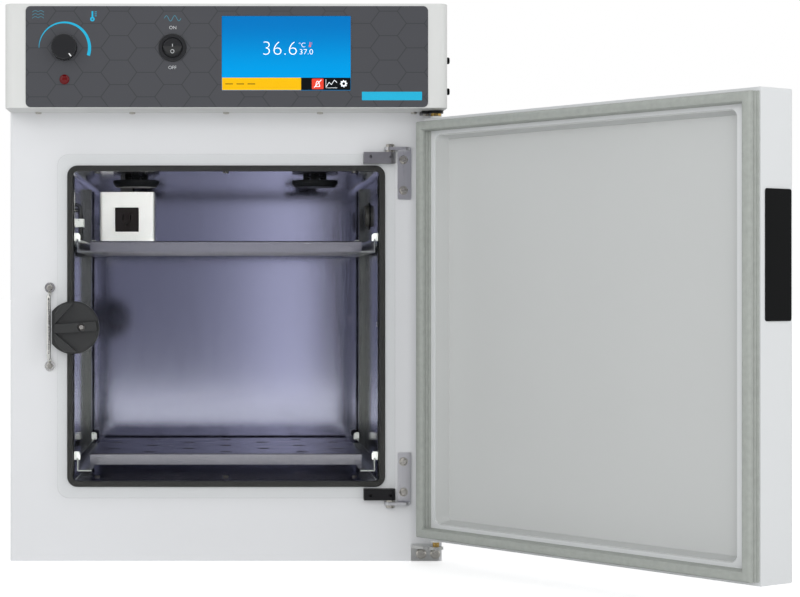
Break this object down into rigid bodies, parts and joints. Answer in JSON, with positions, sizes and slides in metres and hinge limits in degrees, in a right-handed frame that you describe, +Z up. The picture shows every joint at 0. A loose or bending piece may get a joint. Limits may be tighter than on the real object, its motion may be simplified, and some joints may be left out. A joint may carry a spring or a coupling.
{
  "type": "laboratory incubator",
  "caption": "Benchtop laboratory incubator: insulated outer door with a side pull, inner glass door with a turning latch, sliding shelves, side access port, control head above.",
  "frame": {"origin": "middle of the cabinet's underside, on the face that it stands on", "axes": "+Z up, -Y to the front where the doors are, +X to the right as seen from the front"},
  "size_m": [0.8006, 0.9241, 0.637],
  "materials": {
    "body_paint": "semi-gloss light grey enamel",
    "head_paint": "semi-gloss off-white enamel",
    "door_paint": "semi-gloss light grey enamel",
    "panel_paint": "matte grey powder coat",
    "stainless": "bright annealed stainless sheet",
    "zinc_steel": "zinc-plated steel",
    "galvanised": "galvanised sheet",
    "brass": "turned brass",
    "clear_glass": "clear tempered glass",
    "overlay_film": "dark grey printed film",
    "display_panel": "lit touch panel",
    "red_lens": "red lens",
    "black_plastic": "black moulding",
    "black_metal": "black coated steel",
    "white_plastic": "white moulding",
    "black_rubber": "black push-on trim",
    "grey_rubber": "grey magnetic seal",
    "board": "green circuit board",
    "foil": "foil heater mat",
    "foam": "mineral wool and foam"
  },
  "bodies": {
    "cabinet": {"cabinet_shell": "body_paint", "base_pan": "galvanised", "rear_panel": "body_paint", "panel_screws": "zinc_steel", "power_inlet": "black_plastic", "insulation": "foam", "electronics_tray": "galvanised", "power_supply": "galvanised", "header_housing": "head_paint", "side_plugs": "black_plastic", "control_overlay": "overlay_film", "touch_display": "display_panel", "control_board": "board", "limit_thermostat": "zinc_steel", "alarm_lamp": "red_lens", "power_switch_housing": "black_plastic", "chamber_liner": "stainless", "floor_heater": "foil", "opening_gasket": "black_rubber", "ceiling_vent_caps": "black_plastic", "vent_tubes": "stainless", "access_port_tube": "black_plastic", "chamber_probes": "stainless", "probe_clip": "stainless", "outlet_box": "white_plastic", "outlet_socket": "black_plastic", "shelf_clips": "stainless", "glass_hinge_bracket_top": "stainless", "glass_hinge_bracket_bottom": "stainless", "hinge_screws": "zinc_steel", "latch_keeper": "zinc_steel", "door_hinge_upper": "black_metal", "door_hinge_lower": "galvanised", "door_hinge_pins": "brass", "shelf_post_front_left": "stainless", "shelf_post_rear_left": "stainless", "shelf_rail_upper_left": "stainless", "shelf_rail_lower_left": "stainless", "shelf_post_front_right": "stainless", "shelf_post_rear_right": "stainless", "shelf_rail_upper_right": "stainless", "shelf_rail_lower_right": "stainless"},
    "outer_door": {"door_skin": "door_paint", "door_inner_panel": "panel_paint", "door_insulation": "foam", "door_gasket": "grey_rubber", "door_pull": "black_plastic", "door_hinge_bushes": "white_plastic"},
    "glass_door": {"glass_pane": "clear_glass", "glass_clamp_top": "zinc_steel", "glass_clamp_bottom": "black_metal", "glass_hinge_pins": "zinc_steel", "latch_spindle": "zinc_steel", "latch_screw": "zinc_steel"},
    "latch": {"latch_knob": "black_plastic"},
    "limit_dial": {"limit_knob": "black_plastic"},
    "rocker": {"power_rocker": "black_plastic"},
    "upper_shelf_body": {"upper_shelf": "stainless"},
    "lower_shelf_body": {"lower_shelf": "stainless"},
    "port_plug": {"access_port_plug": "black_rubber"}
  },
  "joints": [
    {"name": "outer_door_hinge", "type": "hinge", "parent": "cabinet", "child": "outer_door", "pos_m": [0.24, -0.2745, 0], "axis": [0, 0, 1], "range_deg": [-126.23, 18]},
    {"name": "glass_door_hinge", "type": "hinge", "parent": "cabinet", "child": "glass_door", "pos_m": [0.1895, -0.2523, 0], "axis": [0, 0, 1], "range_deg": [0, 110]},
    {"name": "latch_turn", "type": "hinge", "parent": "glass_door", "child": "latch", "pos_m": [-0.1662, -0.2557, 0.2712], "axis": [0, -1, 0], "range_deg": [-30, 90]},
    {"name": "limit_dial_turn", "type": "hinge", "parent": "cabinet", "child": "limit_dial", "pos_m": [-0.1824, -0.3113, 0.587], "axis": [0, -1, 0], "range_deg": [0, 286]},
    {"name": "power_rocker_tilt", "type": "hinge", "parent": "cabinet", "child": "rocker", "pos_m": [-0.0607, -0.306, 0.587], "axis": [1, 0, 0], "range_deg": [0, 24]},
    {"name": "upper_shelf_slide", "type": "slide", "parent": "cabinet", "child": "upper_shelf_body", "axis": [0, -1, 0], "range_m": [0, 0.08]},
    {"name": "lower_shelf_slide", "type": "slide", "parent": "cabinet", "child": "lower_shelf_body", "axis": [0, -1, 0], "range_m": [0, 0.08]},
    {"name": "port_plug_pull", "type": "slide", "parent": "cabinet", "child": "port_plug", "axis": [1, 0, 0], "range_m": [0, 0.075]}
  ]
}
